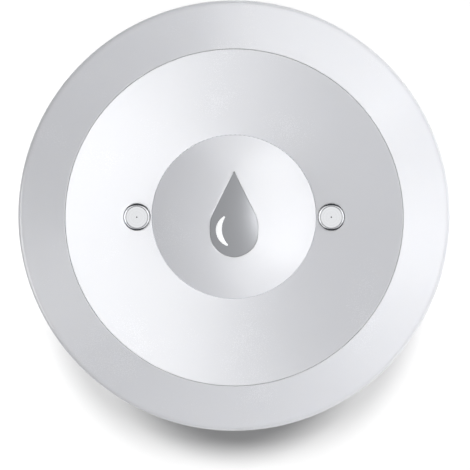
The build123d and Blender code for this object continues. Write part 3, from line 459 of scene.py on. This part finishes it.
def dress_turned():
    """Turned nickel: a stud's flat has fine rings and a centre mark.

    Its bevel has a painted dark reflection ahead and behind and painted shade lines at its edges, and is
    bright at the sides.
    """
    low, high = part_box("contact_stud_right")
    head = (high.y - low.y) / 2
    flat = head * STUD_FLAT_SHARE
    centre = ((low.x + high.x) / 2, 0, 0)
    material, group, shader = turned_metal("stud_nickel", STUD_ROUGHNESS, centre)
    tree = material.node_tree
    reach, colour = group.outputs["Reach"], group.outputs["Colour"]
    # Painted reflection: the bevel is darkened in arcs ahead and behind, as dark surroundings would show in
    # it
    across = math_node(tree, "DIVIDE", math_node(tree, "SUBTRACT", reach, flat), head - flat)
    narrowed = math_node(tree, "MULTIPLY", group.outputs["Lengthways"], REFLECTION_ARC_TAPER)
    taper = math_node(tree, "SUBTRACT", narrowed, REFLECTION_ARC_TAPER)
    painted_reflection_arc = ramp(tree, math_node(tree, "ADD", across, taper), REFLECTION_ARC_START, REFLECTION_ARC_FULL)
    # Painted shade: thin dark lines along the bevel's inner and outer edges
    flat_edge_shade = line(tree, reach, flat, FLAT_LINE_HALF_WIDTH)
    head_edge_shade = line(tree, reach, head - HEAD_LINE_INSET, HEAD_LINE_HALF_WIDTH)
    centre_mark = math_node(tree, "LESS_THAN", reach, CENTRE_MARK_RADIUS)
    for mask, share in (
        (painted_reflection_arc, 1.0),
        (flat_edge_shade, FLAT_LINE_SHARE),
        (head_edge_shade, HEAD_LINE_SHARE),
        (centre_mark, CENTRE_MARK_SHARE),
    ):
        colour = darken(tree, mask, share, colour, PAINTED_REFLECTION_SHADE_AND_MARK_DARK)
    tree.links.new(colour, shader.inputs["Base Color"])
    dress(material, *STUDS)
    probe, _, _ = turned_metal("probe_nickel", PROBE_ROUGHNESS, centre)
    dress(probe, "probe_screw_left", "probe_screw_right")
    cell, _, _ = turned_metal("cell_nickel", CELL_ROUGHNESS, (0, 0, 0), CELL_PITCH)
    dress(cell, "coin_cell")


def dress_crescent():
    """Opal tip of the light guide, with a faint painted glow, though no lamp shines through it."""
    # Painted light: the opal tip glows though no lamp shines through it
    opal = moulded(
        "crescent_opal", OPAL_WHITE, CRESCENT_ROUGHNESS, depth=CRESCENT_DEPTH,
        Emission_Color=(1.0, 1.0, 1.0, 1.0), Emission_Strength=CRESCENT_PAINTED_GLOW,
    )
    dress(opal, "light_guide")


def dress_the_rest():
    """Pieces whose finish is even all over."""
    for name, colour, roughness, grain, clouding, depth, metallic, pieces in FINISHES:
        even = moulded(name, colour, roughness, grain * MM, clouding, depth * MM, Metallic=metallic)
        dress(even, *pieces)


def squeeze_pad():
    """Gives the soft pad under the button, which flattens as the button goes down, a mesh of its own."""
    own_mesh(nodes["return_pad"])


# Floor, light and camera


def make_floor():
    """Floor that its lamps turn white, with a painted shadow under the case, and not seen from below."""
    mesh = bpy.data.meshes.new("floor")
    half = FLOOR_HALF_SIDE
    corners = [(-half, -half, 0), (half, -half, 0), (half, half, 0), (-half, half, 0)]
    mesh.from_pydata(corners, [], [(0, 1, 2, 3)])
    floor = bpy.data.objects.new("floor", mesh)
    scene.collection.objects.link(floor)
    floor.visible_shadow = False  # the underside keeps its light

    material = bpy.data.materials.new("floor_white")
    material.use_nodes = True
    tree = material.node_tree
    tree.nodes.remove(tree.nodes["Principled BSDF"])
    matt = node(tree, "ShaderNodeBsdfDiffuse")
    reach, _ = reach_and_height(tree)
    # Painted shadow: the floor's colour goes dark under the case
    open_floor = ramp(tree, reach, case_radius - CONTACT_INSIDE, case_radius + CONTACT_OUTSIDE)
    tree.links.new(mix_colour(tree, open_floor, FLOOR_PAINTED_SHADOW, FLOOR_PALE), matt.inputs["Color"])
    clear = node(tree, "ShaderNodeBsdfTransparent")
    choice = node(tree, "ShaderNodeMixShader")
    tree.links.new(node(tree, "ShaderNodeNewGeometry").outputs["Backfacing"], choice.inputs["Fac"])
    tree.links.new(matt.outputs[0], choice.inputs[1])
    tree.links.new(clear.outputs[0], choice.inputs[2])
    tree.links.new(choice.outputs[0], tree.nodes["Material Output"].inputs["Surface"])
    mesh.materials.append(material)
    return floor


def make_world():
    """Even white room: full white where the camera or a gloss sees it, weaker as light."""
    world = bpy.data.worlds.new("white room")
    scene.world = world
    world.use_nodes = True
    tree = world.node_tree
    background = tree.nodes["Background"]
    background.inputs["Color"].default_value = (1, 1, 1, 1)
    path = node(tree, "ShaderNodeLightPath")
    seen = math_node(tree, "MAXIMUM", path.outputs["Is Camera Ray"], path.outputs["Is Glossy Ray"])
    seen = math_node(tree, "MAXIMUM", seen, path.outputs["Is Transmission Ray"])
    strength = math_node(tree, "MULTIPLY_ADD", seen, 1 - ROOM_LIGHT, ROOM_LIGHT)
    tree.links.new(strength, background.inputs["Strength"])


def place_lamp(name, data, azimuth, elevation):
    """Lamp put in its direction as seen from the case, and aimed at the case."""
    turn, rise = math.radians(azimuth), math.radians(elevation)
    towards = Vector((math.cos(rise) * math.cos(turn), math.cos(rise) * math.sin(turn), math.sin(rise)))
    lamp = bpy.data.objects.new(name, data)
    lamp.location = towards * LAMP_DISTANCE
    lamp.rotation_euler = towards.to_track_quat("Z", "Y").to_euler()
    scene.collection.objects.link(lamp)
    return lamp


def round_box(name, azimuth, elevation, half_angle, brightness):
    """Round softbox, of a half angle as the case sees it."""
    data = bpy.data.lights.new(name, "AREA")
    data.shape = "DISK"
    data.size = 2 * LAMP_DISTANCE * math.tan(math.radians(half_angle))
    data.energy = brightness * math.pi * math.pi * (data.size / 2) ** 2
    return place_lamp(name, data, azimuth, elevation)


def sun(name, azimuth, elevation, spread, level):
    """Far lamp; a level of 1 lights a facing white surface as white."""
    data = bpy.data.lights.new(name, "SUN")
    data.energy = math.pi * level
    data.angle = math.radians(spread)
    return place_lamp(name, data, azimuth, elevation)


def matt_only(lamp):
    """Lamp that lights a surface without a highlight."""
    lamp.visible_glossy = False
    return lamp


def gloss_only(lamp):
    """Lamp that shows in highlights alone."""
    lamp.visible_diffuse = False
    return lamp


def collection(name, things):
    """Collection of the given objects, for the lamps to name."""
    group = bpy.data.collections.new(name)
    for thing in things:
        group.objects.link(thing)
    return group


def only_for(receivers, *lamps, blockers=None):
    """Lamps that light only the given objects, and are held off only by the blockers if there are any."""
    lit = collection("lit by " + lamps[0].name, receivers)
    for lamp in lamps:
        lamp.light_linking.receiver_collection = lit
        if blockers:
            lamp.light_linking.blocker_collection = collection("in the way of " + lamp.name, blockers)


def make_lights(floor):
    """Low key and fill that rake over the face, a higher key for the shell, and the floor's own light.

    Each lamp has its azimuth, elevation, half angle or spread, and brightness.
    """
    studs = [nodes[name] for name in STUDS]
    drop = [nodes[DROP]]
    face = [nodes[name] for name in FACE]
    shell = [nodes[name] for name in nodes if name not in (*STUDS, *FACE, DROP)]
    only_for(
        face,
        round_box("box_over_right", 0, 70, 22, 2.45),
        round_box("box_over_front", 300, 64, 14, 0.95),
        gloss_only(round_box("gleam_over_front", 315, 70, 22, 1.0)),
        gloss_only(round_box("gleam_over_back", 75, 58, 22, 1.73)),
    )
    only_for(
        face + drop,
        matt_only(round_box("key_low_right", 0, 10, 8, 52.1)),
        matt_only(round_box("fill_low_left", 180, 4, 8, 12.5)),
        matt_only(round_box("fill_low_front", 210, 4, 8, 22.3)),
        blockers=face + shell,
    )
    only_for(
        shell,
        matt_only(round_box("shell_key_right", 0, 46, 14, 10.4)),
        matt_only(round_box("shell_fill_low_left", 195, 10, 14, 1.0)),
        round_box("shell_box_over_right", 0, 60, 22, 1.4),
        gloss_only(round_box("shell_gleam_back", 60, 52, 22, 2.1)),
        gloss_only(round_box("shell_gleam_right", 330, 60, 22, 1.35)),
        gloss_only(round_box("shell_gleam_left", 210, 52, 14, 1.1)),
        gloss_only(round_box("shell_gleam_low_left", 195, 16, 22, 3.6)),
    )
    only_for(drop, round_box("box_for_drop", 0, 56, 14, 6.2))
    only_for(
        studs,
        gloss_only(round_box("gleam_stud_left", 180, 10, 30, 0.55)),
        gloss_only(round_box("gleam_stud_right", 0, 10, 30, 0.55)),
        blockers=studs,
    )
    only_for(nodes.values(), round_box("box_under_floor", 250, -80, 30, 2.8))
    only_for(
        [floor],
        sun("floor_shadow_sun_left", 105, 51.6, 12, 1.07),
        sun("floor_shadow_sun_right", 76, 51.6, 12, 1.07),
        blockers=[nodes["dish_plate"]],
    )
    only_for([floor], sun("floor_fill_front", 270, 50, 60, 0.10))


def make_camera():
    """Long lens, leaning towards the tip of the drop, with the case where the picture has it."""
    data = bpy.data.cameras.new("camera")
    camera = bpy.data.objects.new("camera", data)
    scene.collection.objects.link(camera)
    per_pixel = 2 * case_radius / (CASE_RIGHT - CASE_LEFT)
    data.sensor_width = SENSOR_WIDTH
    data.lens = SENSOR_WIDTH * CAMERA_DISTANCE / (per_pixel * IMAGE_SIDE)
    across = (IMAGE_SIDE / 2 - (CASE_LEFT + CASE_RIGHT) / 2) * per_pixel
    down = (IMAGE_SIDE / 2 - CASE_MIDDLE_ROW) * per_pixel
    level = (cad_high.z - cad_low.z) * WIDEST_LEVEL_SHARE
    aim = Vector((across, -down / math.cos(CAMERA_TILT), level))
    back = Vector((0, math.sin(CAMERA_TILT), math.cos(CAMERA_TILT)))
    camera.location = aim + back * CAMERA_DISTANCE
    camera.rotation_euler = (-CAMERA_TILT, 0, 0)
    data.clip_start, data.clip_end = CAMERA_NEAR, CAMERA_FAR
    scene.camera = camera


def main():
    dress_case()
    dress_turned()
    dress_crescent()
    dress_the_rest()
    squeeze_pad()
    floor = make_floor()
    make_world()
    make_lights(floor)
    make_camera()
    scene.view_settings.view_transform = "Standard"


main()
